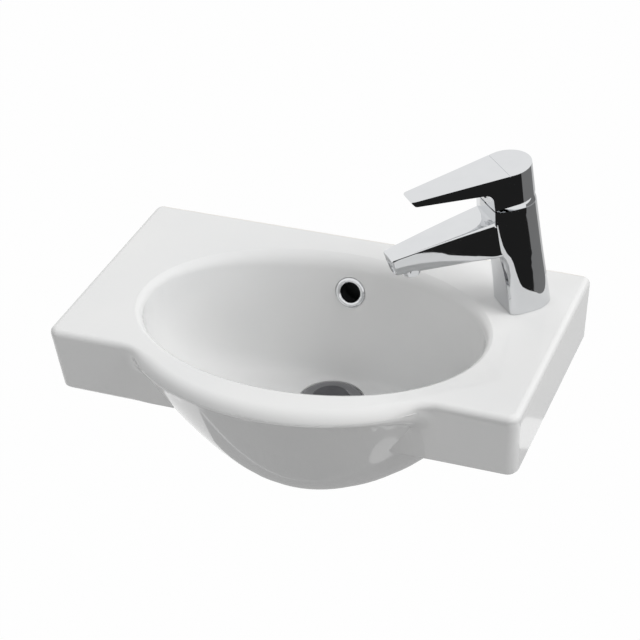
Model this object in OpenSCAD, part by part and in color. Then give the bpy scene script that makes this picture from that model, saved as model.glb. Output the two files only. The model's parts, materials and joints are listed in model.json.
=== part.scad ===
// Wall-hung hand basin with a turned single-lever mixer and a push-button waste.
// Origin: midway between the two wall fixing holes, in the plane of the wall. +Y points into
// the wall, +X to the right of a person at the basin, +Z up. Lengths are in millimetres.

/* [Basin] */
// Width of the deck, left to right
basin_w = 450; // [440:1:470]
// Depth of the deck from the wall to the straight front edge
deck_depth = 240; // [232:1:250]
// Reach of the rounded bowl front from the wall
basin_reach = 296; // [290:1:304]
// Height of the apron round the deck
apron_h = 68; // [62:1:76]
// Height of the ceramic from the deck to the land under the waste
basin_h = 160; // [156:1:168]
// Thickness of the deck
deck_t = 15; // [13:1:17]
// Thickness of the side and front aprons
apron_t = 12; // [10:1:13]
// Thickness of the back wall
back_t = 13; // [11:1:14]
// Lean of the side aprons, in degrees
side_draft = 3.5; // [2:0.5:4]
// Lean of the front apron, in degrees
front_draft = 7; // [5:0.5:8]
// Radius of the upright corners
corner_r = 10; // [8:1:12]
// Rounding of the deck's top edge
edge_r = 6.5; // [5:0.5:7.5]
// Rounding of the lip in front of the bowl
lip_r = 12; // [10:0.5:13]
// Hollow sweep where the lip leaves the straight front edge
lip_sweep_r = 30; // [22:1:34]

/* [Bowl] */
// Width of the bowl opening
bowl_w = 343; // [336:1:346]
// Width of the deck behind the bowl opening
bowl_back = 25.5; // [24:0.5:28]
// Distance from the wall to the front of the bowl opening
bowl_front = 265.5; // [262:0.5:267]
// Distance from the wall to the widest line of the opening
bowl_widest = 145.5; // [142:0.5:149]
// Depth of the bowl at the waste
bowl_depth = 119; // [114:1:121]
// Rounding of the rim at the front and sides
rim_r = 8; // [6:0.5:9]
// Rounding of the rim at the back
back_rim_r = 16; // [12:0.5:17]

/* [Wall fixings] */
// Distance between the two fixing holes
fixing_spacing = 280; // [270:5:290]
// Diameter of a fixing hole
fixing_d = 14; // [12:0.5:15]
// Height of the deck above the fixing holes
fixing_drop = 42; // [40:1:46]

/* [Overflow] */
// Depth of the overflow hole below the deck
overflow_drop = 33; // [31:1:36]
// Diameter of the hole in the ceramic
overflow_hole_d = 24; // [23:0.5:25]
// Diameter of the trim ring
overflow_ring_d = 30; // [29:0.5:31]
// Clear bore of the trim ring
overflow_bore_d = 20; // [18:0.5:20.5]
// Width of the duct behind the bowl
duct_w = 30; // [26:1:34]
// Thickness of the duct
duct_t = 11; // [9:0.5:12]

/* [Waste] */
// Distance from the wall to the waste
waste_back = 107; // [105:0.5:109]
// Diameter of the waste hole in the ceramic
waste_hole_d = 46; // [45:0.5:47]
// Diameter of the visible flange
waste_flange_d = 63; // [61:0.5:64]
// Outside diameter of the threaded tail
waste_tail_d = 41.9; // [41.5:0.1:42.3]
// Inside diameter of the tail
waste_bore_d = 36; // [35:0.5:36.5]
// Length of the tail below the flange
waste_tail_l = 88; // [84:1:96]
// Diameter of the push plug
plug_d = 35.4; // [34.8:0.1:35.8]
// Travel of the push plug
plug_travel = 6; // [5:0.5:6.5]

/* [Tap place] */
// Distance of the tap from the middle of the basin
tap_x = 175; // [172:1:178]
// Distance of the tap from the wall
tap_back = 58; // [56:1:62]
// Diameter of the tap hole
tap_hole_d = 35; // [34:0.5:36]
// Turn of the spout from straight across the basin, in degrees
tap_turn = 43; // [38:1:46]
// Forward lean of the tap, in degrees
tap_lean = 7; // [6:0.25:7.5]

/* [Tap body] */
// Reach of the rounded back from the axis, on the deck
base_back = 27; // [26:0.25:28]
// Half width of the body on the deck
base_hw = 20.9; // [20.5:0.1:21.5]
// Radius of the neck under the lever
neck_r = 23.1; // [22.8:0.1:23.5]
// Height of the joint between the body and the lever
joint_z = 113; // [112:0.5:115]
// Reach of the spout from the tap's axis
spout_reach = 134; // [128:1:140]
// Half width of the spout at its tip
spout_tip_hw = 10; // [9.5:0.25:11]
// Fall of the spout's top surface, in degrees
spout_fall = 11; // [10:0.5:12]
// Height of the underside of the spout
spout_under = 63; // [61:0.5:65]
// Diameter of the outlet nozzle
nozzle_d = 17; // [16.5:0.25:17.5]

/* [Lever] */
// Radius of the lever's round hub
hub_r = 22.5; // [22:0.1:22.8]
// Height of the hub's top along the tap's axis
lever_top_h = 149.5; // [148:0.5:152]
// Reach of the lever's tip from the tap's axis
lever_reach = 96.5; // [92:0.5:102]
// Half width of the lever at its tip
lever_tip_hw = 10; // [9:0.2:10.6]
// Thickness of the lever at its tip
lever_tip_t = 5.5; // [5:0.5:7]
// Gap between the lever and the body at the front
lever_gap = 1.1; // [0.9:0.1:1.6]
// Tilt of the lever's underside, which opens the gap towards the back, in degrees
lever_tilt = 9; // [8:0.5:10]
// Width of the fine line across the lever
score_w = 0.6; // [0.4:0.1:1]

/* [Mixer works] */
// Height of the lever's pivot along the tap's axis
pivot_h = 108; // [107.75:0.25:108.25]
// Diameter of the ceramic disc cartridge
cartridge_d = 35; // [34.5:0.25:35.25]
// Side of the square spindle
spindle_s = 8; // [7.5:0.25:8.25]
// Diameter of the fixing stud
stud_d = 8; // [7:0.5:8.5]
// Length of the fixing stud below the tap
stud_l = 62; // [58:1:70]

/* [Hidden] */

ceramic = [0.93, 0.93, 0.92];
chrome_tone = [0.80, 0.81, 0.83];
brass_tone = [0.80, 0.67, 0.36];
rubber_tone = [0.12, 0.12, 0.12];
plastic_tone = [0.87, 0.88, 0.86];
disc_tone = [0.97, 0.95, 0.90];
steel_tone = [0.62, 0.63, 0.65];

fit = 0.3;          // clearance between pieces that stand apart
slide_fit = 0.08;   // radial clearance of a running fit
over = 1;           // how far a cutter runs past the face it cuts

// Places shared by several pieces
rim_z = fixing_drop;
waste_y = -waste_back;
widest_shift = bowl_widest - waste_back;
recess_r = waste_flange_d / 2 + 1.5;
recess_t = 2;
seat_z = -bowl_depth - recess_t;    // where the waste flange rests, below the deck
land_r = 40;
flange_t = 2.4;
seal_t = 1;
flange_z = seat_z + seal_t;         // underside of the waste flange
tail_z = flange_z - waste_tail_l;
holder_z = tail_z + 38;             // underside of the bridge that carries the push works
holder_t = 12;
bridge_bore_r = 5;
stem_r = 3.5;
base_gap = 0.3;                     // the tap stands this far off the deck, on its seal
seal_r = base_hw - 1;               // outer radius of the groove for the seal
mouth_r = neck_r - 3;               // bore over the cartridge, inside the neck
joint_h = joint_z / cos(tap_lean);  // where the joint crosses the tap's axis, along it
dome_r = neck_r;
chamber_z = pivot_h - 25.5;         // floor of the cartridge chamber, along the tap's axis
foot_z = chamber_z + seal_t;
disc_z = foot_z + 6;
disc_t = 4;
disc_gap = 0.05;
moving_z = disc_z + disc_t + disc_gap;
cavity_r = cartridge_d / 2 - 1.8;
turret_r = 12.5;
turret_z = moving_z + disc_t + 0.4;
flange_h = 3.2;
ball_r = 2.4;
ball_h = moving_z + 1 + ball_r;
spindle_top = lever_top_h - 13.5;
port_x = [-2, -2, 9];
port_y = [8, -8, 0];
port_r = 3.2;
stud_x = -12;

// Helpers

function middle(ring) = [for (p = ring) 1] * ring / len(ring);

// A closed solid through rings of points, each ring counterclockwise and the first on top.
// The first and last ring lie flat, and each is closed by a fan from its middle.
module loft(rings) {
    n = len(rings[0]);
    last = len(rings) - 1;
    top = len(rings) * n;
    polyhedron(
        points = concat([for (ring = rings) each ring], [middle(rings[0]), middle(rings[last])]),
        faces = [for (i = [0 : n - 1]) let (j = (i + 1) % n) each concat(
            [[top, j, i], [top + 1, last * n + i, last * n + j]],
            [for (k = [0 : n : last * n - 1])
                each [[k + i, k + j, k + n + j], [k + i, k + n + j, k + n + i]]]
        )],
        convexity = 6
    );
}

// From 1 at the top to 0 at the bottom of a wall: steep first, then rounding under
function wall_curve(s, p, q) = pow(max(0, 1 - pow(s, p)), 1 / q);

function smooth_step(s) = let (c = min(1, max(0, s))) c * c * (3 - 2 * c);

module ring(r_out, r_in, h, fn = 96) {
    difference() {
        cylinder(r = r_out, h = h, $fn = fn);
        translate([0, 0, -over]) cylinder(r = r_in, h = h + 2 * over, $fn = fn);
    }
}

module below_deck() {
    translate([0, 0, rim_z]) children();
}

module at_waste() {
    translate([0, waste_y, rim_z]) children();
}

// Local +X along the spout, +Z up, z = 0 on the deck
module at_tap() {
    translate([tap_x, -tap_back, rim_z]) rotate([0, 0, 180 + tap_turn]) children();
}

// As at_tap, but +Z along the leaning axis
module on_tap_axis() {
    at_tap() rotate([0, tap_lean, 0]) children();
}

// Bowl, inside

bowl_points = 72;
bowl_rows = 13;
floor_r = recess_r + 0.6;       // the wall ends here, on a narrow land round the waste

function rim_radius(t) = rim_r + (back_rim_r - rim_r) * pow(max(0, sin(t)), 2);

// A point of the bowl's wall at angle t, where u runs from 0 under the rim to 1 at the floor
function bowl_point(t, u) =
    let (
        r = rim_radius(t),
        shift = widest_shift * (1 - u * u),
        half = floor_r + (bowl_w / 2 - r - floor_r) * wall_curve(u, 1.9, 3.6),
        fore = floor_r + (bowl_front - waste_back - r - floor_r) * wall_curve(u, 2.2, 4.5),
        aft = floor_r + (waste_back - bowl_back - r - floor_r) * wall_curve(u, 0.85, 1.7),
        reach = sin(t) < 0 ? fore - shift : aft + shift
    )
    [half * cos(t), waste_y - shift + reach * sin(t), -r - (bowl_depth - r) * u];

// A point of the rounded rim, where a runs from 0 on the deck to 90 on the wall
function rim_point(t, a) =
    let (
        r = rim_radius(t),
        aft = waste_back - bowl_back + widest_shift,
        fore = bowl_front - bowl_widest,
        inset = r * sin(a),
        reach = (sin(t) < 0 ? fore : aft) - inset
    )
    [(bowl_w / 2 - inset) * cos(t), -bowl_widest + reach * sin(t), -r * (1 - cos(a))];

function above_rim(p, t) = [p[0] + 4 * cos(t), p[1] + 4 * sin(t), over];

module bowl_inside() {
    turns = [for (i = [0 : bowl_points - 1]) 360 * i / bowl_points];
    loft(concat(
        [[for (t = turns) above_rim(rim_point(t, 12), t)]],
        [for (a = [12, 32, 52, 72]) [for (t = turns) rim_point(t, a)]],
        [for (k = [0 : bowl_rows]) let (u = sin(90 * k / bowl_rows))
            [for (t = turns) bowl_point(t, u)]]
    ));
}

// Bowl, outside

outer_points = 72;
outer_rows = 12;
outer_top = 10;      // how far below the deck the outer bowl starts, hidden in the lip

function outer_point(t, s) =
    let (
        shift = widest_shift * pow(1 - s, 1.54),
        half = land_r + (bowl_w / 2 + 7.5 - land_r) * wall_curve(s, 1.38, 2.25),
        fore = land_r + (basin_reach - bowl_widest - land_r) * wall_curve(s, 0.97, 4.5),
        aft = land_r + (waste_back - 6 - land_r) * wall_curve(s, 2.5, 2.2),
        reach = sin(t) < 0 ? fore : aft + shift
    )
    [half * cos(t), waste_y - shift + reach * sin(t), -outer_top - (basin_h - outer_top) * s];

module bowl_outside() {
    turns = [for (i = [0 : outer_points - 1]) 360 * i / outer_points];
    loft([for (k = [0 : outer_rows]) let (s = sin(90 * k / outer_rows))
        [for (t = turns) outer_point(t, s)]]);
}

// Deck block: the deck, its aprons and the lip, seen from above as one outline

lip_a = bowl_w / 2 + 7.5;
lip_b = basin_reach - bowl_widest;

function lip_point(t) = [lip_a * sin(t), -bowl_widest - lip_b * cos(t)];
function lip_normal(t) =
    let (n = [sin(t) / lip_a, -cos(t) / lip_b]) n / norm(n);

// The angle at which a circle outside the lip also touches the straight front edge
function sweep_gap(t) =
    lip_point(t)[1] + lip_sweep_r * lip_normal(t)[1] + deck_depth + lip_sweep_r;
function sweep_angle(low = 20, high = 80, steps = 24) =
    let (mid = (low + high) / 2)
    steps == 0 ? mid
        : sweep_gap(mid) < 0 ? sweep_angle(mid, high, steps - 1)
        : sweep_angle(low, mid, steps - 1);

sweep_t = sweep_angle();
sweep_c = lip_point(sweep_t) + lip_sweep_r * lip_normal(sweep_t);
sweep_end = atan2(-lip_normal(sweep_t)[0], -lip_normal(sweep_t)[1]);

// Right half of the outline from the middle of the front to the back corner. Each entry holds
// a point, its outward normal, and how the draft of the aprons moves it: [sideways, inwards]
lip_steps = 18;
sweep_steps = 6;
corner_steps = 5;
back_corner_r = 3;

function front_entry(p, n) = [p, n, [0, 1]];

function corner(r, cy, from, draft) =
    [for (i = [0 : corner_steps]) let (a = from + 90 * i / corner_steps, n = [cos(a), sin(a)])
        [[basin_w / 2 - r, cy] + r * n, draft[0] == 2 ? [1, 0] : n, [1, draft[1]]]];

right_half = concat(
    [for (i = [0 : lip_steps]) let (t = sweep_t * i / lip_steps)
        front_entry(lip_point(t), lip_normal(t))],
    [for (i = [1 : sweep_steps]) let (a = sweep_end * (1 - i / sweep_steps), n = [-sin(a), -cos(a)])
        front_entry(sweep_c - lip_sweep_r * n, n)],
    [front_entry([(sweep_c[0] + basin_w / 2 - corner_r) / 2, -deck_depth], [0, -1])],
    corner(corner_r, corner_r - deck_depth, -90, [1, 1]),
    [[[basin_w / 2, -deck_depth / 2], [1, 0], [1, 0]]],
    corner(back_corner_r, -back_corner_r, 0, [2, 0])
);

function mirrored(e) = [[-e[0][0], e[0][1]], [-e[1][0], e[1][1]], [-e[2][0], e[2][1]]];
outline = concat(
    right_half,
    [for (i = [len(right_half) - 1 : -1 : 1]) mirrored(right_half[i])]
);

// How far a point of the outline stands in front of the straight edge
function bulge(e) = max(0, -deck_depth - e[0][1]);
function top_round(e) = edge_r + (lip_r - edge_r) * smooth_step(bulge(e) / 20);

// The lip fades back into the front apron below its rounding, behind the outer bowl
function lip_left(e, d) =
    bulge(e) * (1 - smooth_step((d - lip_r) / (apron_h * 0.35)));

function block_point(e, inset, d) =
    let (
        lean = e[2][1] * (d * tan(front_draft) * (1 - smooth_step(lip_left(e, d) / 20))),
        back = bulge(e) - lip_left(e, d)
    )
    [
        e[0][0] - inset * e[1][0] - e[2][0] * d * tan(side_draft),
        e[0][1] - inset * e[1][1] + lean + back,
        -d
    ];

module deck_block() {
    loft(concat(
        [for (a = [0 : 15 : 90])
            [for (e = outline) let (r = top_round(e))
                block_point(e, r * (1 - sin(a)), r * (1 - cos(a)))]],
        [for (d = [lip_r + 2.5, 20, 25, 31, apron_h - 2.5])
            [for (e = outline) block_point(e, 0, d)]],
        [[for (e = outline) block_point(e, 2, apron_h)]]
    ));
}

// The hollow underneath, open at the bottom
module underside_level(d, r) {
    x = basin_w / 2 - apron_t - d * tan(side_draft) - r;
    front = deck_depth - apron_t - d * tan(front_draft) - r;
    for (sx = [-1, 1]) {
        for (y = [-back_t - r, -front]) {
            translate([sx * x, y, -d]) cylinder(r = r, h = 0.1, $fn = 24);
        }
    }
}

module underside() {
    hull() {
        underside_level(deck_t, 1);
        underside_level(deck_t + 5, 6);
        underside_level(apron_h + over, 6);
    }
}

function overflow_seat() = bowl_point(90, (overflow_drop - back_rim_r) / (bowl_depth - back_rim_r));
overflow_tilt = 16;

// Local +Z out of the bowl's back wall, z = 0 on the ring's seat
module at_overflow() {
    p = overflow_seat();
    translate([0, p[1], p[2] + rim_z]) rotate([90 - overflow_tilt, 0, 0])
        translate([0, 0, -0.8]) children();
}

module duct_leg(from, to) {
    hull() {
        for (p = [from, to]) {
            for (sx = [-1, 1]) {
                translate([sx * (duct_w - duct_t) / 2, p[0], p[1]])
                    sphere(d = duct_t, $fn = 24);
            }
        }
    }
}

module overflow_duct() {
    elbow = [-34, -110];
    duct_leg([-27, 4 - overflow_drop], elbow);
    duct_leg(elbow, [waste_y + waste_hole_d / 2 - 3, -bowl_depth - 23]);
}

module basin() {
    color(ceramic) difference() {
        below_deck() union() {
            difference() {
                deck_block();
                underside();
            }
            bowl_outside();
        }
        below_deck() bowl_inside();
        below_deck() overflow_duct();
        at_overflow() {
            cylinder(d = overflow_ring_d + 1, h = 12, $fn = 96);
            translate([0, 0, -18]) cylinder(d = overflow_hole_d, h = 20, $fn = 96);
        }
        at_waste() {
            translate([0, 0, seat_z]) cylinder(r = recess_r, h = recess_t + 6, $fn = 96);
            translate([0, 0, -basin_h - over])
                cylinder(d = waste_hole_d, h = basin_h, $fn = 96);
        }
        at_tap() translate([0, 0, -deck_t - over])
            cylinder(d = tap_hole_d, h = deck_t + 2 * over, $fn = 96);
        for (sx = [-1, 1]) {
            translate([sx * fixing_spacing / 2, over, 0]) rotate([90, 0, 0])
                cylinder(d = fixing_d, h = back_t + 2 * over, $fn = 64);
        }
    }
}

// Overflow trim

module overflow_ring() {
    face_r = overflow_ring_d / 2;
    bore_r = overflow_bore_d / 2;
    shank_r = overflow_hole_d / 2 - 0.15;
    face_t = 2.4;
    round_r = (face_r - bore_r) / 2;
    color(chrome_tone) at_overflow() rotate_extrude($fn = 96) polygon(concat(
        [[face_r, 0]],
        [for (a = [0 : 15 : 180]) [bore_r + round_r * (1 + cos(a)), 0.8 + (face_t - 0.8) * sin(a)]],
        [[bore_r, -13], [shank_r, -13], [shank_r, 0]]
    ));
}

// Waste

module bridge() {
    for (a = [30, 150, 270]) {
        rotate([0, 0, a]) translate([bridge_bore_r + 0.5, -1.5, holder_z])
            cube([waste_bore_d / 2 - bridge_bore_r, 3, holder_t - 3]);
    }
    translate([0, 0, holder_z]) ring(bridge_bore_r + 2, bridge_bore_r, holder_t, 64);
}

module waste_body() {
    r = waste_flange_d / 2;
    bore_r = waste_bore_d / 2;
    tail_r = waste_tail_d / 2;
    top = flange_z + flange_t;
    slot_z = -bowl_depth - 31;
    groove_z = -basin_h - 19;       // between the nut's stretch of the tail and the trap's
    color(chrome_tone) at_waste() {
        difference() {
            rotate_extrude($fn = 96) polygon([
                [bore_r, tail_z], [tail_r - 1, tail_z], [tail_r, tail_z + 1],
                [tail_r, groove_z], [tail_r - 0.4, groove_z + 0.4], [tail_r - 0.4, groove_z + 1.4],
                [tail_r, groove_z + 1.8], [tail_r, flange_z - 2],
                [tail_r + 1.5, flange_z], [r, flange_z], [r, flange_z + 0.7], [r - 0.8, flange_z + 1.4],
                [r - 4, top - 0.2], [r - 7, top], [bore_r + 3, top], [bore_r + 1.6, top - 0.6],
                [bore_r + 1.2, top - 2.5], [bore_r, top - 5]
            ]);
            for (a = [0 : 90 : 270]) {
                rotate([0, 0, a + 45]) translate([bore_r - 2, -6, slot_z]) cube([8, 12, 17]);
            }
        }
        bridge();
    }
}

module flange_seal() {
    color(rubber_tone) at_waste() translate([0, 0, seat_z])
        ring(waste_flange_d / 2 - 1, waste_hole_d / 2 + 0.5, seal_t);
}

plug_z = flange_z + flange_t;       // underside of the raised plug's head
plug_t = 5;

module waste_plug() {
    r = plug_d / 2;
    color(chrome_tone) at_waste() rotate_extrude($fn = 96) polygon([
        [0, plug_z - 7], [7, plug_z - 7], [7, plug_z - 2.4], [r - 1.8, plug_z - 2.4],
        [r - 1.8, plug_z], [r - 0.6, plug_z], [r, plug_z + 0.8], [r, plug_z + plug_t - 1.6],
        [r - 0.5, plug_z + plug_t - 0.8], [r - 1.6, plug_z + plug_t - 0.5],
        [r - 8, plug_z + plug_t - 0.1], [0, plug_z + plug_t]
    ]);
}

module plug_seal() {
    r = plug_d / 2;
    color(rubber_tone) at_waste() translate([0, 0, plug_z - 2.2]) ring(r + 0.1, r - 1.7, 2);
}

stem_top = plug_z - 7;
stem_z = holder_z + 12;

module plug_stem() {
    color(brass_tone) at_waste() {
        translate([0, 0, stem_z]) cylinder(r = stem_r, h = stem_top - stem_z, $fn = 48);
    }
}

module click_holder() {
    floor_z = holder_z + 2;
    top_z = holder_z + holder_t + 18;
    bore_r = stem_r + slide_fit;
    color(plastic_tone) at_waste() difference() {
        union() {
            translate([0, 0, holder_z]) cylinder(r = bridge_bore_r - 0.1, h = holder_t, $fn = 48);
            translate([0, 0, holder_z + holder_t]) cylinder(r = bridge_bore_r + 1.8,
                h = top_z - holder_z - holder_t, $fn = 48);
        }
        translate([0, 0, floor_z]) cylinder(r = bore_r, h = top_z - floor_z + over, $fn = 48);
    }
}

// A wire wound in a helix, square-cut at both ends
module coil(r, wire_r, z0, z1, turns) {
    steps = turns * 12;
    sides = 6;
    function wire_ring(k) =
        let (a = 360 * turns * k / steps, z = z0 + wire_r + (z1 - z0 - 2 * wire_r) * k / steps)
        [for (i = [0 : sides - 1]) let (b = 360 * i / sides)
            [(r + wire_r * cos(b)) * cos(a), (r + wire_r * cos(b)) * sin(a), z + wire_r * sin(b)]];
    loft([for (k = [0 : steps]) wire_ring(k)]);
}

module click_spring() {
    color(steel_tone) at_waste() coil(stem_r - 0.7, 0.3, holder_z + 2, stem_z, 5);
}

module waste_washer() {
    r_in = waste_tail_d / 2 + 0.2;
    r_hole = waste_hole_d / 2;
    color(rubber_tone) at_waste() translate([0, 0, -basin_h]) rotate_extrude($fn = 96) polygon([
        [r_in, 3], [r_hole - 1, 3], [r_hole - 0.4, 0], [r_hole + 7, 0], [r_hole + 6, -6], [r_in, -6]
    ]);
}

module slip_washer() {
    color(plastic_tone) at_waste() translate([0, 0, -basin_h - 7.5])
        ring(waste_hole_d / 2 + 6, waste_tail_d / 2 + 0.2, 1.5);
}

module hex(across, h) {
    cylinder(r = across / 2 / cos(30), h = h, $fn = 6);
}

module waste_nut() {
    across = waste_tail_d + 12;
    h = 9;
    color(brass_tone) at_waste() translate([0, 0, -basin_h - 7.5 - h]) difference() {
        intersection() {
            hex(across, h);
            cylinder(r1 = across / 2 + 0.8, r2 = across / 2 + h + 0.8, h = h, $fn = 96);
        }
        translate([0, 0, -over]) cylinder(r = waste_tail_d / 2 + 0.1, h = h + 2 * over, $fn = 96);
    }
}

// Tap body: a leaning body with a round back, running into a tapered spout

nozzle_f = 112;
nozzle_boss_z = spout_under - 0.8;
body_top = joint_z + 8;

function lean_at(z) = z * tan(tap_lean);

// Stations up the body: reach of the back, half width, reach of the front, half width of the
// front facet and radius of the corner beside it, all measured from the leaning axis
function back_reach(z) =
    lookup(z, [[0, base_back], [30, neck_r + 2.3], [60, neck_r + 1.1], [joint_z, neck_r]]);
function half_width(z) =
    lookup(z, [[0, base_hw], [30, neck_r - 0.8], [60, neck_r - 0.3], [joint_z, neck_r - 0.1]]);
function front_reach(z) = lookup(z, [[0, 20.9], [20, 20.2], [36, 20.5], [50, 21.4], [58, 22.5],
    [spout_under + 1, 24.1], [70, 24.9], [98, 26.2], [joint_z, 24.9], [body_top, 24]]);
function facet_hw(z) = lookup(z, [[0, 17.2], [20, 16], [50, 13.6], [58, 13.6],
    [spout_under + 1, 15.5], [70, 18.6], [80, 19.2], [body_top, 19.2]]);
function corner_bow(z) =
    lookup(z, [[0, 3], [20, 4.5], [50, 7], [58, 6.5], [spout_under + 1, 4], [70, 1.2], [body_top, 1]]);

// Right half of the body's outline at a height z, from the middle of the back to the front
function body_half(z) =
    let (
        a = back_reach(z), b = half_width(z), f = front_reach(z), c = facet_hw(z), w = corner_bow(z),
        flank = b * cos(83) * 0.9
    )
    concat(
        [for (t = [-180 : 8.5 : -96]) [a * cos(t), b * sin(t)]],
        [[flank, -b * sin(84)]],
        [for (k = [1 : 4]) let (q = k / 5, bow = w * sin(180 * q) * 0.32)
            [flank + (f - flank) * (1 - pow(1 - q, 1.6)) * 0.97 + bow * 0.25,
             -(b * sin(84) + (c - b * sin(84)) * pow(q, 1.9)) - bow * 0.55]],
        [[f - 0.3, -c], [f, -c + 1]]
    );

function body_ring(z) =
    let (half = body_half(z), n = len(half))
    [for (p = concat(half, [[front_reach(z) + 0.4, 0]],
        [for (i = [n - 1 : -1 : 1]) [half[i][0], -half[i][1]]])) [p[0] + lean_at(z), p[1], z]];

module body_mass() {
    heights = [body_top, joint_z - 8, 98, 88, 78, 70, spout_under + 1, 61, 58, 54, 50, 43, 36, 28,
        20, 10, -3];
    loft([for (z = heights) body_ring(z)]);
}

// Spout: flat sides that close in, with rounded edges on top and a keel underneath
function spout_hw(f) = neck_r + (spout_tip_hw - neck_r) * (f - 6) / (spout_reach - 6);
function spout_top(f) = 101 - (f - 42) * tan(spout_fall);
function spout_side(f) = lookup(f, [[20, spout_under + 3], [36, spout_under + 5.5], [92, spout_under + 18],
    [spout_reach, spout_under + 12.5]]);
function spout_round(f) = lookup(f, [[20, 5.5], [42, 4.5], [62, 2.6], [90, 1.6], [spout_reach, 1.4]]);

// Across the spout at a distance f along it, drawn in by an inset at its ends
function spout_ring(f, inset = 0) =
    let (
        w = spout_hw(f) - inset, top = spout_top(f) - inset, side = spout_side(f), r = spout_round(f),
        under = spout_under + inset, keel = w - 8 + inset,
        slant = 0.3 * max(0, (f - 90) / (spout_reach - 90)),
        half = concat(
            [for (a = [90 : -22.5 : 0]) [keel + (w - keel) * cos(a), side - (side - under) * sin(a)]],
            [for (a = [0 : 30 : 90]) [w - r + r * cos(a), top - r + r * sin(a)]]
        ),
        n = len(half)
    )
    [for (p = concat(half, [[0, top + 0.9]],
        [for (i = [n - 1 : -1 : 0]) [-half[i][0], half[i][1]]], [[0, under - 0.3]]))
        [f - slant * (top - p[1]), p[0], p[1]]];

module spout_mass() {
    loft(concat(
        [spout_ring(spout_reach, 0.9), spout_ring(spout_reach - 0.9)],
        [for (f = [spout_reach - 8 : -12 : 46]) spout_ring(f)],
        [spout_ring(36), spout_ring(20, 3)]
    ));
}

module tap_body() {
    shank_l = 9;
    color(chrome_tone) {
        difference() {
            at_tap() union() {
                difference() {
                    union() {
                        body_mass();
                        spout_mass();
                    }
                    translate([-60, -60, base_gap - 20]) cube([120, 120, 20]);
                    translate([-60, -60, joint_z]) cube([120, 120, 20]);
                }
                translate([0, 0, -shank_l])
                    cylinder(r = tap_hole_d / 2 - 0.7, h = shank_l + 1, $fn = 96);
                translate([nozzle_f, 0, nozzle_boss_z]) cylinder(d = nozzle_d + 1.6, h = 12, $fn = 64);
            }
            at_tap() {
                difference() {
                    cylinder(r = seal_r, h = 1.5, $fn = 96);
                    cylinder(r = tap_hole_d / 2 + 0.4, h = 1.5, $fn = 96);
                }
                translate([stud_x, 0, -shank_l - over]) cylinder(d = stud_d + 0.1, h = 22, $fn = 48);
                for (sy = [-1, 1]) {
                    translate([port_x[0], sy * port_y[0], -shank_l - over])
                        cylinder(r = 4.6, h = 16, $fn = 48);
                }
                translate([nozzle_f, 0, nozzle_boss_z - over]) cylinder(d = nozzle_d - 1, h = 11, $fn = 64);
                translate([16, 0, 74.5]) rotate([0, 90, 0]) cylinder(r = 4.5, h = nozzle_f - 14, $fn = 48);
            }
            on_tap_axis() {
                translate([0, 0, chamber_z]) cylinder(d = cartridge_d + 0.3, h = 60, $fn = 96);
                translate([0, 0, shoulder_h - 0.5]) cylinder(r = mouth_r + 0.1, h = 30, $fn = 96);
                for (k = [0, 1]) {
                    translate([port_x[k], port_y[k], 4]) cylinder(r = port_r, h = chamber_z, $fn = 48);
                }
                translate([port_x[2], port_y[2], chamber_z - 6]) cylinder(r = port_r, h = 10, $fn = 48);
            }
        }
    }
}

module base_seal() {
    color(rubber_tone) at_tap() ring(seal_r - 0.2, tap_hole_d / 2 + 0.6, 1.5);
}

// Cartridge and its cover

module ports() {
    for (k = [0 : 2]) {
        translate([port_x[k], port_y[k], 0]) children();
    }
}

module port_seals() {
    color(rubber_tone) on_tap_axis() translate([0, 0, chamber_z]) ports()
        ring(port_r + 1.2, port_r + 0.1, seal_t, 32);
}

module cartridge_foot() {
    color(plastic_tone) on_tap_axis() translate([0, 0, foot_z]) difference() {
        cylinder(d = cartridge_d, h = disc_z - foot_z, $fn = 96);
        ports() translate([0, 0, -over]) cylinder(r = port_r, h = 20, $fn = 32);
    }
}

module fixed_disc() {
    color(disc_tone) on_tap_axis() translate([0, 0, disc_z]) difference() {
        cylinder(r = cavity_r - 0.2, h = disc_t, $fn = 96);
        ports() translate([0, 0, -over]) cylinder(r = port_r, h = 20, $fn = 32);
    }
}

module moving_disc() {
    color(disc_tone) on_tap_axis() translate([0, 0, moving_z]) difference() {
        cylinder(r = cavity_r - 5.4, h = disc_t, $fn = 96);
        translate([0, 0, disc_t - 3]) cylinder(r = ball_r + 0.25, h = 4, $fn = 48);
    }
}

shoulder_h = turret_z + flange_h + 2.2;     // where the nut presses on the housing
neck_h = shoulder_h + 4.5;

module cartridge_housing() {
    color(plastic_tone) on_tap_axis() difference() {
        union() {
            translate([0, 0, disc_z]) cylinder(d = cartridge_d, h = shoulder_h - disc_z, $fn = 96);
            translate([0, 0, disc_z]) cylinder(r = turret_r + 1.7, h = neck_h - disc_z, $fn = 96);
        }
        translate([0, 0, disc_z - over])
            cylinder(r = cavity_r, h = turret_z + flange_h + 0.2 - disc_z + over, $fn = 96);
        translate([0, 0, disc_z]) cylinder(r = turret_r + slide_fit, h = 40, $fn = 96);
    }
}

module turret() {
    slot_l = 17;
    slot_w = spindle_s + 0.5;
    top = pivot_h + 7;
    color(plastic_tone) on_tap_axis() difference() {
        union() {
            translate([0, 0, turret_z]) cylinder(r = cavity_r - 0.3, h = flange_h, $fn = 96);
            translate([0, 0, turret_z]) cylinder(r = turret_r, h = top - turret_z, $fn = 96);
        }
        translate([-slot_l / 2, -slot_w / 2, turret_z - over]) cube([slot_l, slot_w, 40]);
        translate([0, 30, pivot_h]) rotate([90, 0, 0]) cylinder(r = 1.55, h = 60, $fn = 32);
    }
}

module turret_pin() {
    color(steel_tone) on_tap_axis() translate([0, turret_r - 1, pivot_h]) rotate([90, 0, 0])
        cylinder(r = 1.5, h = 2 * turret_r - 2, $fn = 32);
}

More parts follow.
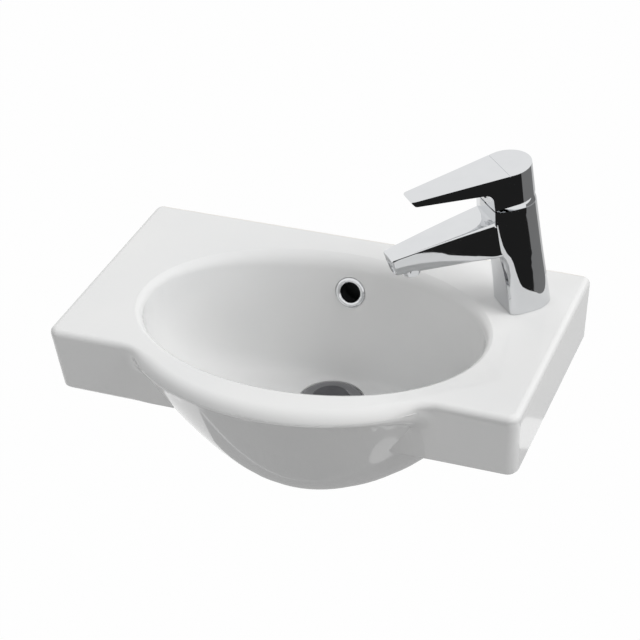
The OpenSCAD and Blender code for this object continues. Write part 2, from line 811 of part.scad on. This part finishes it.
module spindle() {
    color(brass_tone) on_tap_axis() difference() {
        union() {
            translate([0, 0, ball_h]) sphere(r = ball_r, $fn = 32);
            translate([0, 0, ball_h]) cylinder(r = 1.7, h = 6, $fn = 32);
            translate([-spindle_s / 2, -spindle_s / 2, ball_h + 5])
                cube([spindle_s, spindle_s, spindle_top - ball_h - 5]);
        }
        translate([0, 30, pivot_h]) rotate([90, 0, 0]) cylinder(r = 1.56, h = 60, $fn = 32);
    }
}

module cartridge_nut() {
    color(brass_tone) on_tap_axis() difference() {
        union() {
            translate([0, 0, shoulder_h]) cylinder(r = mouth_r, h = 4, $fn = 96);
            translate([0, 0, shoulder_h]) hex(30, 8);
        }
        translate([0, 0, shoulder_h - over]) cylinder(r = turret_r + 1.9, h = 20, $fn = 96);
    }
}

module above_joint(h = 30) {
    rotate([0, -tap_lean, 0]) translate([-60, -60, joint_z]) cube([120, 120, h]);
}

module dome_cover() {
    skirt_z = shoulder_h + 4.2;
    color(chrome_tone) on_tap_axis() {
        difference() {
            intersection() {
                translate([0, 0, pivot_h]) sphere(r = dome_r, $fn = 96);
                above_joint();
                translate([0, 0, pivot_h - 18]) cylinder(r = 40, h = 30);
            }
            translate([0, 0, pivot_h]) sphere(r = dome_r - 1.6, $fn = 96);
        }
        translate([0, 0, skirt_z]) ring(mouth_r, mouth_r - 1.3, pivot_h + 10 - skirt_z);
    }
}

// Lever

hub_front = front_reach(joint_z) - 0.6;
paddle_fillet = 8;
paddle_rise = 7.2;      // slope of the underside of the lever's arm, in degrees
screw_h = lever_top_h - 24.5;

// Underside of the lever's arm at a distance x from the axis
function arm_under(x) = lever_top_h - lever_tip_t - (lever_reach - 4 - x) * tan(paddle_rise);

// The lever's plan: a round hub with flat sides that close in towards a blunt tip
module lever_plan() {
    tip = lever_reach;
    hw = lever_tip_hw;
    lean = atan2(hub_r - hw, tip);
    touch = hub_r * [sin(lean), cos(lean)];
    corner = 2.5;
    circle(r = hub_r, $fn = 96);
    polygon(concat(
        [[0, 0], [touch[0], -touch[1]], [tip - corner - 1, -hw - 0.4]],
        [for (a = [-60 : 30 : 0]) [tip - corner, -hw + corner] + corner * [cos(a), sin(a)]],
        [for (a = [0 : 30 : 60]) [tip - corner, hw - corner] + corner * [cos(a), sin(a)]],
        [[tip - corner - 1, hw + 0.4], [touch[0], touch[1]]]
    ));
}

module lever_side() {
    r = paddle_fillet;
    c = [hub_front + r, arm_under(hub_front + r) - r];
    polygon(concat(
        [[-40, pivot_h], [-40, lever_top_h], [lever_reach - 1, lever_top_h], [lever_reach, lever_top_h - 1],
         [lever_reach - 2.5, arm_under(lever_reach - 4) + 0.8],
         [lever_reach - 4, arm_under(lever_reach - 4)]],
        [for (a = [90 : 15 : 180]) c + r * [cos(a), sin(a)]],
        [[hub_front, pivot_h]]
    ));
}

// Everything under the lever: level with the body's joint at the front, rising towards the back
module below_lever() {
    front = front_reach(joint_z) + lean_at(joint_z);
    rotate([0, -tap_lean, 0]) translate([front, 0, joint_z + lever_gap]) rotate([0, lever_tilt, 0])
        translate([-120, -60, -60]) cube([180, 120, 60]);
}

module lever() {
    color(chrome_tone) on_tap_axis() difference() {
        intersection() {
            linear_extrude(lever_top_h) lever_plan();
            translate([0, 40, 0]) rotate([90, 0, 0]) linear_extrude(80) lever_side();
        }
        below_lever();
        difference() {
            translate([0, 0, pivot_h]) sphere(r = dome_r + 0.4, $fn = 96);
            translate([0, 0, pivot_h + 13]) cylinder(r = 8.5, h = 30, $fn = 64);
            translate([0, -6, pivot_h + 13]) cube([40, 12, 30]);
        }
        translate([-spindle_s / 2 - 0.1, -spindle_s / 2 - 0.1, joint_h])
            cube([spindle_s + 0.2, spindle_s + 0.2, spindle_top + 0.3 - joint_h]);
        translate([0, 0, screw_h]) rotate([0, 90, 0]) cylinder(r = 2.55, h = 60, $fn = 32);
        translate([score_x, -40, lever_top_h - 0.55]) cube([score_w, 80, 2]);
    }
}

score_x = 6.8;

module lever_screw() {
    color(steel_tone) on_tap_axis() translate([spindle_s / 2 + 0.1, 0, screw_h]) rotate([0, 90, 0])
        difference() {
            cylinder(r = 2.5, h = 8, $fn = 32);
            translate([0, 0, 5]) hex(2.5, 4);
        }
}

module screw_plug() {
    color(rubber_tone) on_tap_axis() translate([hub_front - 2.5, 0, screw_h]) rotate([0, 90, 0])
        cylinder(r = 2.5, h = 3, $fn = 32);
}

// Outlet

module nozzle() {
    z = nozzle_boss_z;
    r = nozzle_d / 2;
    color(chrome_tone) at_tap() translate([nozzle_f, 0, z]) rotate_extrude($fn = 64) polygon([
        [r - 2.2, -2.2], [r - 0.5, -2.2], [r, -1.7], [r, -0.3], [r - 0.6, -0.3], [r - 0.6, 6], [r - 2.2, 6]
    ]);
}

module nozzle_washer() {
    color(rubber_tone) at_tap() translate([nozzle_f, 0, nozzle_boss_z + 6])
        ring(nozzle_d / 2 - 0.6, nozzle_d / 2 - 2.6, 1.5, 64);
}

module flow_insert() {
    r = nozzle_d / 2 - 2.3;
    color(plastic_tone) at_tap() translate([nozzle_f, 0, nozzle_boss_z - 1.6]) difference() {
        cylinder(r = r, h = 7, $fn = 48);
        translate([0, 0, 1.5]) cylinder(r = r - 1, h = 7, $fn = 48);
        for (ring_r = [2, 4]) {
            for (a = [0 : 180 / ring_r : 359]) {
                rotate([0, 0, a]) translate([ring_r, 0, -over]) cylinder(r = 0.6, h = 4, $fn = 16);
            }
        }
    }
}

// Tap fixings under the deck

module horseshoe(t) {
    difference() {
        cylinder(r = tap_hole_d / 2 + 6.5, h = t, $fn = 96);
        translate([4, 0, -over]) cylinder(r = 9.5, h = t + 2 * over, $fn = 64);
        translate([4, -7, -over]) cube([40, 14, t + 2 * over]);
        translate([stud_x, 0, -over]) cylinder(d = stud_d + 0.8, h = t + 2 * over, $fn = 48);
        for (k = [0, 1]) {
            translate([port_x[k], port_y[k], -over]) cylinder(r = 5.4, h = t + 2 * over, $fn = 48);
        }
    }
}

module horseshoe_seal() {
    color(rubber_tone) at_tap() translate([0, 0, -deck_t - 3]) horseshoe(3);
}

module horseshoe_washer() {
    color(steel_tone) at_tap() translate([0, 0, -deck_t - 5.5]) horseshoe(2.5);
}

module fixing_stud() {
    color(steel_tone) at_tap() translate([stud_x, 0, -stud_l])
        cylinder(d = stud_d, h = stud_l + 10, $fn = 48);
}

module stud_nut() {
    h = 8;
    color(brass_tone) at_tap() translate([stud_x, 0, -deck_t - 5.5 - h]) difference() {
        hex(stud_d + 5, h);
        translate([0, 0, -over]) cylinder(d = stud_d + 0.1, h = h + 2 * over, $fn = 48);
    }
}

basin();
overflow_ring();
waste_body();
flange_seal();
waste_plug();
plug_seal();
plug_stem();
click_holder();
click_spring();
waste_washer();
slip_washer();
waste_nut();
tap_body();
base_seal();
dome_cover();
cartridge_nut();
cartridge_housing();
cartridge_foot();
port_seals();
fixed_disc();
moving_disc();
turret();
turret_pin();
spindle();
lever();
lever_screw();
screw_plug();
nozzle();
nozzle_washer();
flow_insert();
fixing_stud();
horseshoe_seal();
horseshoe_washer();
stud_nut();
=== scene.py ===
# %% [markdown]
# A small wall-hung washbasin with a chrome mixer tap turned towards the bowl. The CAD model gives
# every shape and size. This scene gives the finishes, the light and the camera. It starts by
# loading the CAD model as a fixed frame.

# %% Load the CAD model
import json
import math
import bmesh
import bpy
from mathutils import Matrix, Vector


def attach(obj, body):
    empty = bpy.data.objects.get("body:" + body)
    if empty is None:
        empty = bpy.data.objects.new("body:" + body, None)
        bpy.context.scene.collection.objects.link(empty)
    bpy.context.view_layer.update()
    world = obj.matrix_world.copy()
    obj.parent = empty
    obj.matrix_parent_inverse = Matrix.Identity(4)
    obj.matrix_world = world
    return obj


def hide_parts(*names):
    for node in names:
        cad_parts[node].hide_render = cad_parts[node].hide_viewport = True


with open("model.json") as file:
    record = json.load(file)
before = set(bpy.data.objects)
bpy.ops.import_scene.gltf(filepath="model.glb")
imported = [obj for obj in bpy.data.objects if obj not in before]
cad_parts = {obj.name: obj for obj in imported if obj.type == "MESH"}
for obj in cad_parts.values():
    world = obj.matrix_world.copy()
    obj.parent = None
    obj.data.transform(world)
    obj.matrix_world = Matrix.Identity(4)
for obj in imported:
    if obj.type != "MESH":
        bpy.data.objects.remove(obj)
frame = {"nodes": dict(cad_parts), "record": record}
nodes = frame["nodes"]
slots = {part["node"]: part["material_slot"] for part in frame["record"]["subparts"]}
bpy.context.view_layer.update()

# %% [markdown]
# Shader maths is easier to read as sums than as chains of nodes. One small class wraps a socket
# and adds a Math node for each operator, also where a plain number comes first, as in 1 - mask.

# %% A socket that does sums
class Wire:
    """An output socket of a node tree that can be added, subtracted and multiplied."""

    def __init__(self, tree, socket):
        self.tree = tree
        self.socket = socket

    def sum_node(self, operation, first, second):
        node = self.tree.nodes.new("ShaderNodeMath")
        node.operation = operation
        for socket, value in zip(node.inputs, (first, second)):
            plug(self.tree, socket, value)
        return Wire(self.tree, node.outputs[0])

    def __add__(self, other): return self.sum_node("ADD", self, other)
    def __radd__(self, other): return self.sum_node("ADD", other, self)
    def __sub__(self, other): return self.sum_node("SUBTRACT", self, other)
    def __rsub__(self, other): return self.sum_node("SUBTRACT", other, self)
    def __mul__(self, other): return self.sum_node("MULTIPLY", self, other)
    def __rmul__(self, other): return self.sum_node("MULTIPLY", other, self)


def plug(tree, socket, value):
    """Give a socket a link or, where the value is a plain number or colour, that value."""
    if isinstance(value, Wire):
        tree.links.new(value.socket, socket)
    elif isinstance(value, bpy.types.NodeSocket):
        tree.links.new(value, socket)
    else:
        socket.default_value = value


print("a wire can do sums")

# %% [markdown]
# Each finish below starts from the same things: one Principled shader, the place on the object,
# and a few nodes that come up again and again. Every node but the sums comes from one method,
# which sets the node's own settings first and then its sockets. The pattern follows Object
# coordinates, so it keeps its real scale in metres whatever the size of the piece.

# %% A finish and its nodes
class Finish:
    """A material with one Principled shader, ready for its finish."""

    def __init__(self, name):
        self.material = bpy.data.materials.new(name)
        self.material.use_nodes = True
        self.tree = self.material.node_tree
        self.shader = self.tree.nodes["Principled BSDF"]
        self.place = self.node("ShaderNodeTexCoord").outputs["Object"]

    def node(self, kind, settings=None, **sockets):
        node = self.tree.nodes.new(kind)
        for key, value in (settings or {}).items():
            setattr(node, key, value)
        for key, value in sockets.items():
            plug(self.tree, node.inputs[key.replace("_", " ")], value)
        return node

    def noise(self, scale, detail, rough=0.5):
        node = self.node("ShaderNodeTexNoise", Vector=self.place, Scale=scale,
                         Detail=detail, Roughness=rough)
        return Wire(self.tree, node.outputs["Factor" if "Factor" in node.outputs else "Fac"])

    def axis(self, name):
        """The place along X, Y or Z, in metres."""
        node = self.node("ShaderNodeSeparateXYZ", Vector=self.place)
        return Wire(self.tree, node.outputs[name])

    def ramp(self, wire, low, high):
        """0 where the wire is at low, 1 where it is at high, and no further either way."""
        node = self.node("ShaderNodeMapRange", {"clamp": True}, Value=wire, From_Min=low, From_Max=high)
        return Wire(self.tree, node.outputs["Result"])

    def blend(self, wire, first, second):
        """The first colour where the wire is 0 and the second where it is 1."""
        node = self.node("ShaderNodeMix", {"data_type": "RGBA"})
        factor, colour_a, colour_b = node.inputs[0], node.inputs[6], node.inputs[7]
        for socket, value in ((factor, wire), (colour_a, first), (colour_b, second)):
            plug(self.tree, socket, value)
        return node.outputs[2]

    def bump(self, height, distance):
        node = self.node("ShaderNodeBump", Height=height, Distance=distance)
        plug(self.tree, self.shader.inputs["Normal"], node.outputs["Normal"])

    def set(self, **sockets):
        """Set or link sockets of the Principled shader."""
        for key, value in sockets.items():
            plug(self.tree, self.shader.inputs[key.replace("_", " ")], value)


print("the shader helper is ready")

# %% [markdown]
# Sanitary ware is fired clay under a thick white glaze. The glaze is smooth and glossy, with a
# very slow waviness from where it ran and settled, and its colour drifts by a hair. It is left
# off the wall face and the rims underneath, where the piece stood in the kiln: there the clay
# is bare, warmer and matt. The overflow channel behind the bowl gets painted shade: its glaze is
# painted near black, standing in for the dark inside the closed channel. One material does all
# three, with masks from the place on the basin.

# %% Glazed ceramic
glaze = Finish("glazed_ceramic")
cloud = glaze.noise(9.0, 3.0)
glaze_white = glaze.blend(glaze.ramp(cloud, 0.3, 0.7), (0.745, 0.75, 0.75, 1), (0.775, 0.775, 0.77, 1))
grit = glaze.noise(900.0, 4.0, 0.65)
clay = glaze.blend(grit, (0.70, 0.67, 0.61, 1), (0.80, 0.77, 0.71, 1))
wall_face = glaze.ramp(glaze.axis("Y"), -0.0012, -0.0004)
foot_rim = glaze.ramp(glaze.axis("Z"), -0.1165, -0.1178)
bare = glaze.ramp(wall_face + foot_rim + (grit - 0.5) * 0.3, 0.4, 0.6)
across_squared = glaze.axis("X") * glaze.axis("X")
# Painted shade: this mask marks the overflow channel behind the bowl, where the glaze is painted near
# black because little light reaches it.
duct_painted_shade = (glaze.ramp(glaze.axis("Y"), -0.041, -0.036) * glaze.ramp(glaze.axis("Y"), -0.012, -0.016)
        * glaze.ramp(across_squared, 0.00032, 0.00028) * glaze.ramp(glaze.axis("Z"), 0.026, 0.022))
painted_duct_shade = (0.03, 0.03, 0.03, 1)
glaze.set(Base_Color=glaze.blend(duct_painted_shade, glaze.blend(bare, glaze_white, clay), painted_duct_shade),
          Roughness=0.07 + bare * 0.68 + duct_painted_shade * 0.5 + cloud * 0.03,
          IOR=1.52, Specular_IOR_Level=0.12,
          Coat_Weight=glaze.ramp(1.0 - bare - duct_painted_shade, 0.0, 2.0), Coat_Roughness=0.03)
glaze.bump(glaze.noise(28.0, 1.0) + bare * grit * 0.6, 0.00006)
print("glazed ceramic: clay shows on the wall face and the foot")

# %% [markdown]
# Polished chrome is nearly a mirror. What makes it look real is what it reflects, so the
# material stays simple: a slightly blue grey, a little haze where it is handled, and a faint
# unevenness of the plated casting that bends long reflections. The waste lies deep in the bowl,
# where the photograph shows it much darker than the tap, so its flange and plug get darker chrome
# as painted shade, the plug the darkest: it stands in for the dim bowl that they sit in and
# reflect. Its tail, under the basin, is bright again.

# %% Polished chrome
BRIGHT_PAIR = (0.69, 0.70, 0.715, 1), (0.74, 0.75, 0.76, 1)
FLANGE_PAINTED_SHADE_PAIR = (0.25, 0.25, 0.26, 1), (0.33, 0.33, 0.34, 1)
PLUG_PAINTED_SHADE_PAIR = (0.12, 0.12, 0.13, 1), (0.18, 0.18, 0.19, 1)
BRIGHT_BELOW_Z, PAINTED_SHADE_ABOVE_Z = -0.10, -0.09     # the tones change over between the two


def plated(name, tone_pair, rough):
    finish = Finish(name)
    haze = finish.noise(60.0, 4.0, 0.6)
    # Above the change-over height the colour takes the given tone pair, which for the waste is painted
    # shade.
    painted_shade_in_bowl = finish.ramp(finish.axis("Z"), BRIGHT_BELOW_Z, PAINTED_SHADE_ABOVE_Z)
    colour = finish.blend(painted_shade_in_bowl, finish.blend(haze, *BRIGHT_PAIR), finish.blend(haze, *tone_pair))
    finish.set(Base_Color=colour, Metallic=1.0, Roughness=rough + finish.ramp(haze, 0.45, 0.8) * 0.05)
    finish.bump(finish.noise(45.0, 1.0), 0.00003)
    return finish


chrome = plated("polished_chrome", BRIGHT_PAIR, 0.035)
# The waste's flange and plug get the chrome darkened as painted shade for the dim bowl.
flange_chrome_painted_shade = plated("flange_chrome_painted_shade", FLANGE_PAINTED_SHADE_PAIR, 0.05)
plug_chrome_painted_shade = plated("plug_chrome_painted_shade", PLUG_PAINTED_SHADE_PAIR, 0.05)
# The waste's darker chrome is painted shade.
print("polished chrome and the waste's darker platings")

# %% [markdown]
# Turned brass carries fine rings from the lathe. The rings here follow height, at about a
# quarter of a millimetre, with duller patches where the bare metal has darkened.

# %% Machined brass and steel
def machined(name, bright, dull, rough, pitch):
    finish = Finish(name)
    patch = finish.noise(140.0, 4.0)
    wave = finish.node("ShaderNodeTexWave", {"bands_direction": "Z"}, Vector=finish.place,
                       Scale=pitch, Distortion=0.4)
    rings = Wire(finish.tree, wave.outputs["Fac"])
    finish.set(Base_Color=finish.blend(finish.ramp(patch, 0.35, 0.7), bright, dull), Metallic=1.0,
               Roughness=rough + rings * 0.08 + patch * 0.06)
    finish.bump(rings + patch * 0.3, 0.00004)
    return finish


brass = machined("machined_brass", (0.83, 0.68, 0.36, 1), (0.62, 0.47, 0.22, 1), 0.2, 640.0)
steel = machined("machined_steel", (0.66, 0.67, 0.69, 1), (0.50, 0.51, 0.53, 1), 0.24, 700.0)
print("brass and steel")

# %% [markdown]
# The seals are moulded rubber, dark and matt with a fine bloom. The cartridge and the push
# button's holder are pale moulded plastic with a slight sheen. The two control discs are
# lapped ceramic, harder and smoother than the plastic round them.

# %% Rubber, plastic and lapped ceramic
def moulded(name, first, second, rough, scale, depth):
    finish = Finish(name)
    mottle = finish.noise(scale, 4.0, 0.6)
    finish.set(Base_Color=finish.blend(mottle, first, second), Roughness=rough + mottle * 0.12)
    finish.bump(finish.noise(scale * 4, 2.0), depth)
    return finish


rubber = moulded("moulded_rubber", (0.022, 0.022, 0.023, 1), (0.05, 0.05, 0.05, 1), 0.6, 300.0, 0.00008)
plastic = moulded("moulded_plastic", (0.78, 0.79, 0.77, 1), (0.84, 0.85, 0.83, 1), 0.34, 250.0, 0.00004)
lapped = moulded("lapped_ceramic", (0.88, 0.86, 0.81, 1), (0.92, 0.90, 0.85, 1), 0.2, 400.0, 0.00001)
print("rubber, plastic and lapped ceramic")

# %% [markdown]
# Each CAD node keeps its own mesh and takes the finish of its slot in the record. Only the two
# pieces of the waste depart from that: they take the chrome darkened as painted shade.

# %% Give every node its finish
finishes = {"ceramic": glaze, "chrome": chrome, "brass": brass, "steel": steel,
            "rubber": rubber, "plastic": plastic, "disc": lapped}
# The waste's flange and plug take chrome darkened as painted shade.
painted_shade_finish = {"waste_body": flange_chrome_painted_shade, "waste_plug": plug_chrome_painted_shade}
for name, node in nodes.items():
    material = painted_shade_finish.get(name, finishes[slots[name]]).material
    if not node.data.materials:
        node.data.materials.append(material)
    for index in range(len(node.data.materials)):
        node.data.materials[index] = material
print("finished", len(nodes), "nodes")

# %% [markdown]
# The lofted forms come from CAD as fine flat facets. On glaze and chrome a facet shows at once,
# because a reflection breaks at each edge. A copy of the mesh has its loose corners joined, and
# its normals run smoothly across the shallow edges and stop at the real ones. The outline stays
# that of the CAD node, which the copy stands for.

# %% Smooth skins over the lofted forms
JOIN_WITHIN = 0.000004      # metres; corners nearer than this are one corner
NO_LENGTH = 0.000001        # metres; an edge shorter than this is dropped
bodies = frame["record"]["behaviour"]["bodies"]
body_of = {name: body for body, names in bodies.items() for name in names}


def smooth_skin(name, sharp_degrees):
    skin = bpy.data.objects.new(name + "_skin", nodes[name].data.copy())
    bpy.context.scene.collection.objects.link(skin)
    bm = bmesh.new()
    bm.from_mesh(skin.data)
    before = len(bm.verts)
    bmesh.ops.remove_doubles(bm, verts=bm.verts, dist=JOIN_WITHIN)
    bmesh.ops.dissolve_degenerate(bm, edges=bm.edges, dist=NO_LENGTH)
    bmesh.ops.recalc_face_normals(bm, faces=bm.faces)
    bm.to_mesh(skin.data)
    bm.free()
    if "custom_normal" in skin.data.attributes:
        skin.data.attributes.remove(skin.data.attributes["custom_normal"])
    skin.data.shade_smooth()
    skin.data.set_sharp_from_angle(angle=math.radians(sharp_degrees))
    weighted = skin.modifiers.new("even_normals", "WEIGHTED_NORMAL")
    weighted.keep_sharp = True
    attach(skin, body_of[name])
    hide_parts(name)
    print(name, before, "corners joined to", len(skin.data.vertices))


for name, sharp_degrees in (("basin", 32), ("tap_body", 24), ("dome_cover", 30), ("lever", 24)):
    smooth_skin(name, sharp_degrees)

# %% [markdown]
# The floor is plain and pale, well below the basin, which hangs on a wall at its working height.
# A Light Path node tells what kind of ray has met it. Cameras and mirrors see it as almost white,
# and other rays meet a grey that keeps the basin's shadow.

# %% Floor
FLOOR_Z, FLOOR_HALF = -0.80, 6.0
FLOOR_GLOW = 0.985      # how much of what is seen is plain white


def show(thing):
    """Put an object in the scene."""
    bpy.context.scene.collection.objects.link(thing)


def ray(tree, name):
    path = tree.nodes.new("ShaderNodeLightPath")
    return Wire(tree, path.outputs[name])


bm = bmesh.new()
bmesh.ops.create_grid(bm, x_segments=1, y_segments=1, size=FLOOR_HALF)
bmesh.ops.translate(bm, verts=bm.verts, vec=(0, 0, FLOOR_Z))
floor_mesh = bpy.data.meshes.new("floor")
bm.to_mesh(floor_mesh)
bm.free()
floor = bpy.data.objects.new("floor", floor_mesh)
show(floor)
pale = Finish("pale_floor")
pale.set(Base_Color=(0.38, 0.38, 0.38, 1), Roughness=0.9)
glow = pale.node("ShaderNodeEmission", Color=(1, 1, 1, 1), Strength=1.0)
seen = (ray(pale.tree, "Is Camera Ray") + ray(pale.tree, "Is Glossy Ray")) * FLOOR_GLOW
mix = pale.tree.nodes.new("ShaderNodeMixShader")
for socket, value in zip(mix.inputs, (seen, pale.shader.outputs[0], glow.outputs[0])):
    plug(pale.tree, socket, value)
plug(pale.tree, pale.tree.nodes["Material Output"].inputs[0], mix.outputs[0])
floor_mesh.materials.append(pale.material)
print("floor", -FLOOR_Z, "m below the CAD model's origin")

# %% [markdown]
# The sky is made in the same way. Cameras, mirrors and clear things see it at a strength of one,
# which is white, and it lights the basin from all round much more gently than that.

# %% Sky
SKY_LIGHT, SKY_SEEN = 0.31, 1.0

world = bpy.data.worlds.new("studio")
bpy.context.scene.world = world
world.use_nodes = True
sky = world.node_tree
background = sky.nodes["Background"]
background.inputs["Color"].default_value = (1, 1, 1, 1)
shown = ray(sky, "Is Camera Ray") + ray(sky, "Is Glossy Ray") + ray(sky, "Is Transmission Ray")
strength = sky.nodes.new("ShaderNodeMapRange")
strength.clamp = True
for key, value in (("Value", shown), ("To Min", SKY_LIGHT), ("To Max", SKY_SEEN)):
    plug(sky, strength.inputs[key], value)
sky.links.new(strength.outputs["Result"], background.inputs["Strength"])
print("sky seen at", SKY_SEEN, "and lighting at", SKY_LIGHT)

# %% [markdown]
# One broad soft light far off to the upper right lights the deck most, the right apron less and
# the front least, and four weaker ones round the basin lift the shadows. The chrome doesn't
# mirror the lamps themselves, because a lamp in a mirror is a plain white patch.

# %% Soft lights
AIM_AT = Vector((0, -0.15, 0))


def soft_light(name, place, size, watts):
    data = bpy.data.lights.new(name, "AREA")
    data.shape = "SQUARE"
    data.size, data.energy = size, watts
    lamp = bpy.data.objects.new(name, data)
    show(lamp)
    aim = (AIM_AT - Vector(place)).to_track_quat("-Z", "Y")
    lamp.matrix_world = Matrix.Translation(place) @ aim.to_matrix().to_4x4()
    lamp.visible_glossy = False
    return lamp


lamps = [soft_light("key", (5.5, -0.4, 5.5), 4.5, 405.0),
         soft_light("rear_right", (4.4, 3.4, 5.4), 4.5, 126.0),
         soft_light("rear_left", (-3.0, 2.6, 2.8), 3.0, 43.0),
         soft_light("front_left", (-2.4, -3.2, 3.0), 3.0, 30.0),
         soft_light("front_low", (0.3, -4.8, 1.1), 2.4, 19.0)]
print("lights", [(lamp.name, lamp.data.energy) for lamp in lamps])

# %% [markdown]
# Chrome needs something dark to reflect as well, or it looks like white paint. Curved cards
# stand outside the picture: a black one where the tap's flat sides look, a grey one where its
# round back looks, a paler one that the right apron mirrors and one under the bowl. Only
# reflections see them, so they neither light nor shade anything. An upright arc spun about the
# tap gives a card by the directions that it fills, in degrees round and up from the tap, which
# are easier to judge than its corners.

# %% Reflection cards
TAP_MIDDLE = (0.17, -0.08, 0.12)
RISE_STEPS, ROUND_STEPS = 8, 24


def card(name, round_to, low_high, shade, radius=1.3):
    start, stop = (math.radians(v) for v in round_to)
    low, high = (math.radians(v) for v in low_high)
    rises = [low + (high - low) * i / RISE_STEPS for i in range(RISE_STEPS + 1)]
    bm = bmesh.new()
    verts = [bm.verts.new((radius * math.cos(rise) * math.cos(start),
                           radius * math.cos(rise) * math.sin(start),
                           radius * math.sin(rise))) for rise in rises]
    edges = [bm.edges.new(pair) for pair in zip(verts, verts[1:])]
    bmesh.ops.spin(bm, geom=verts + edges, cent=(0, 0, 0), axis=(0, 0, 1), angle=stop - start,
                   steps=ROUND_STEPS)
    bmesh.ops.translate(bm, verts=bm.verts, vec=TAP_MIDDLE)
    mesh = bpy.data.meshes.new(name)
    bm.to_mesh(mesh)
    bm.free()
    finish = Finish(name)
    lit = finish.node("ShaderNodeEmission", Color=(shade, shade, shade, 1), Strength=1.0)
    plug(finish.tree, finish.tree.nodes["Material Output"].inputs[0], lit.outputs[0])
    mesh.materials.append(finish.material)
    board = bpy.data.objects.new(name, mesh)
    show(board)
    board.visible_camera = board.visible_diffuse = board.visible_shadow = False
    return board


cards = [card("black_card", (-120, -6), (-64, -3), 0.016),
         card("grey_card", (-6, 64), (-64, 6), 0.2),
         card("side_card", (64, 100), (-44, 6), 0.6),
         card("under_card", (-179, 180), (-86, -50), 0.45, radius=0.85)]
print("cards", [board.name for board in cards])

# %% [markdown]
# The camera was worked out from the photograph: the deck's corners, which are straight and
# square, fix where it stood, how it was turned and how long its lens is. Its turn is given by
# the three directions that it calls right, up and back.

# %% Camera
STANDS_AT = (0.59992, -1.56659, 1.04764)
RIGHT, UP, BACK = (0.93173, 0.36121, -0.03749), (-0.16869, 0.52193, 0.83614), (0.32159, -0.77274, 0.54723)

lens = bpy.data.cameras.new("camera")
lens.sensor_width, lens.lens = 36.0, 112.913
lens.clip_start, lens.clip_end = 0.05, 30.0
camera = bpy.data.objects.new("camera", lens)
show(camera)
camera.matrix_world = Matrix.Translation(STANDS_AT) @ Matrix((RIGHT, UP, BACK)).transposed().to_4x4()
bpy.context.scene.camera = camera
bpy.context.scene.view_settings.view_transform = "Standard"
print("camera", [round(v, 3) for v in camera.matrix_world.translation])
